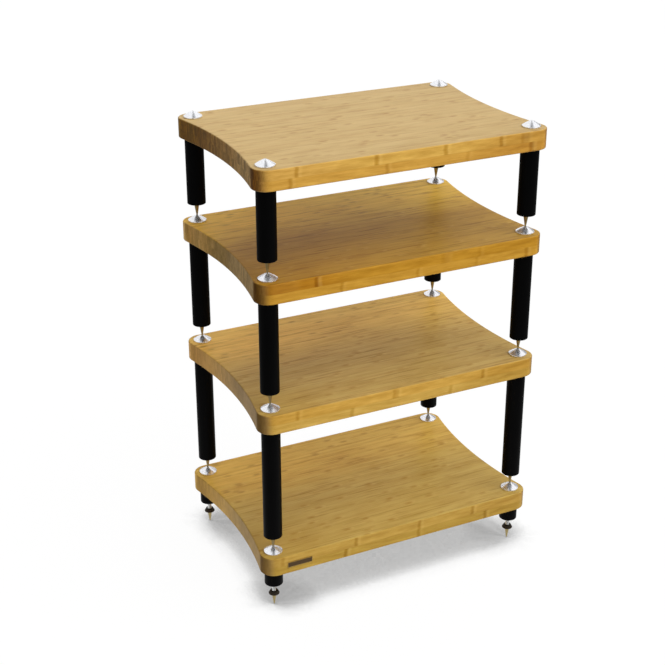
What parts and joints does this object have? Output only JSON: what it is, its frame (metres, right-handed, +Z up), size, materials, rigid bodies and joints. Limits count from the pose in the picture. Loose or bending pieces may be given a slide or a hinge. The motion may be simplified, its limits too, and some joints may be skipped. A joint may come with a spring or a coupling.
{
  "type": "audio equipment rack",
  "caption": "Open rack of stacked bamboo shelves on round black legs, whose brass spikes stand in dimpled aluminium discs, with collar-turned levelling spikes under the base.",
  "frame": {"origin": "the floor under the middle of the rack, level with the tips of the floor spikes", "axes": "+Z up, +X to the right and +Y to the back as seen from the front, which faces -Y"},
  "size_m": [0.5958, 0.4015, 0.9084],
  "materials": {
    "bamboo": "solid laminated bamboo under satin lacquer",
    "black_satin": "satin black paint on steel tube",
    "turned_aluminium": "turned and polished aluminium",
    "brass": "turned brass",
    "dark_collar": "knurled brass with a dark bronze finish",
    "badge_plate": "black anodised, bare of lettering, with a bright edge"
  },
  "bodies": {
    "base_module": {"base_shelf": "bamboo", "badge_plate": "badge_plate", "base_disc_front_left": "turned_aluminium", "foot_sleeve_front_left": "black_satin", "base_disc_front_right": "turned_aluminium", "foot_sleeve_front_right": "black_satin", "base_disc_back_left": "turned_aluminium", "foot_sleeve_back_left": "black_satin", "base_disc_back_right": "turned_aluminium", "foot_sleeve_back_right": "black_satin"},
    "lower_module": {"lower_shelf": "bamboo", "lower_disc_front_left": "turned_aluminium", "lower_leg_front_left": "black_satin", "lower_spike_front_left": "brass", "lower_disc_front_right": "turned_aluminium", "lower_leg_front_right": "black_satin", "lower_spike_front_right": "brass", "lower_disc_back_left": "turned_aluminium", "lower_leg_back_left": "black_satin", "lower_spike_back_left": "brass", "lower_disc_back_right": "turned_aluminium", "lower_leg_back_right": "black_satin", "lower_spike_back_right": "brass"},
    "middle_module": {"middle_shelf": "bamboo", "middle_disc_front_left": "turned_aluminium", "middle_leg_front_left": "black_satin", "middle_spike_front_left": "brass", "middle_disc_front_right": "turned_aluminium", "middle_leg_front_right": "black_satin", "middle_spike_front_right": "brass", "middle_disc_back_left": "turned_aluminium", "middle_leg_back_left": "black_satin", "middle_spike_back_left": "brass", "middle_disc_back_right": "turned_aluminium", "middle_leg_back_right": "black_satin", "middle_spike_back_right": "brass"},
    "top_module": {"top_shelf": "bamboo", "top_disc_front_left": "turned_aluminium", "top_leg_front_left": "black_satin", "top_spike_front_left": "brass", "top_disc_front_right": "turned_aluminium", "top_leg_front_right": "black_satin", "top_spike_front_right": "brass", "top_disc_back_left": "turned_aluminium", "top_leg_back_left": "black_satin", "top_spike_back_left": "brass", "top_disc_back_right": "turned_aluminium", "top_leg_back_right": "black_satin", "top_spike_back_right": "brass"},
    "front_left_floor_spike": {"foot_spike_front_left": "brass"},
    "front_left_collar": {"foot_collar_front_left": "dark_collar"},
    "front_right_floor_spike": {"foot_spike_front_right": "brass"},
    "front_right_collar": {"foot_collar_front_right": "dark_collar"},
    "back_left_floor_spike": {"foot_spike_back_left": "brass"},
    "back_left_collar": {"foot_collar_back_left": "dark_collar"},
    "back_right_floor_spike": {"foot_spike_back_right": "brass"},
    "back_right_collar": {"foot_collar_back_right": "dark_collar"}
  },
  "joints": [
    {"name": "lower_module_lift", "type": "slide", "parent": "base_module", "child": "lower_module", "axis": [0, 0, 1], "range_m": [0, 0.06]},
    {"name": "middle_module_lift", "type": "slide", "parent": "lower_module", "child": "middle_module", "axis": [0, 0, 1], "range_m": [0, 0.06]},
    {"name": "top_module_lift", "type": "slide", "parent": "middle_module", "child": "top_module", "axis": [0, 0, 1], "range_m": [0, 0.06]},
    {"name": "front_left_spike_travel", "type": "slide", "parent": "base_module", "child": "front_left_floor_spike", "axis": [0, 0, 1], "range_m": [-0.006, 0.01]},
    {"name": "front_left_collar_turn", "type": "hinge", "parent": "front_left_floor_spike", "child": "front_left_collar", "pos_m": [-0.27, -0.17, 0.03], "axis": [0, 0, 1], "range_deg": [-1728, 2880]},
    {"name": "front_right_spike_travel", "type": "slide", "parent": "base_module", "child": "front_right_floor_spike", "axis": [0, 0, 1], "range_m": [-0.006, 0.01]},
    {"name": "front_right_collar_turn", "type": "hinge", "parent": "front_right_floor_spike", "child": "front_right_collar", "pos_m": [0.27, -0.17, 0.03], "axis": [0, 0, 1], "range_deg": [-1728, 2880]},
    {"name": "back_left_spike_travel", "type": "slide", "parent": "base_module", "child": "back_left_floor_spike", "axis": [0, 0, 1], "range_m": [-0.006, 0.01]},
    {"name": "back_left_collar_turn", "type": "hinge", "parent": "back_left_floor_spike", "child": "back_left_collar", "pos_m": [-0.27, 0.17, 0.03], "axis": [0, 0, 1], "range_deg": [-1728, 2880]},
    {"name": "back_right_spike_travel", "type": "slide", "parent": "base_module", "child": "back_right_floor_spike", "axis": [0, 0, 1], "range_m": [-0.006, 0.01]},
    {"name": "back_right_collar_turn", "type": "hinge", "parent": "back_right_floor_spike", "child": "back_right_collar", "pos_m": [0.27, 0.17, 0.03], "axis": [0, 0, 1], "range_deg": [-1728, 2880]}
  ],
  "couplings": [
    {"joint": "front_left_collar_turn", "follows": "front_left_spike_travel", "rad_per_m": 5026.5},
    {"joint": "front_right_collar_turn", "follows": "front_right_spike_travel", "rad_per_m": 5026.5},
    {"joint": "back_left_collar_turn", "follows": "back_left_spike_travel", "rad_per_m": 5026.5},
    {"joint": "back_right_collar_turn", "follows": "back_right_spike_travel", "rad_per_m": 5026.5}
  ]
}
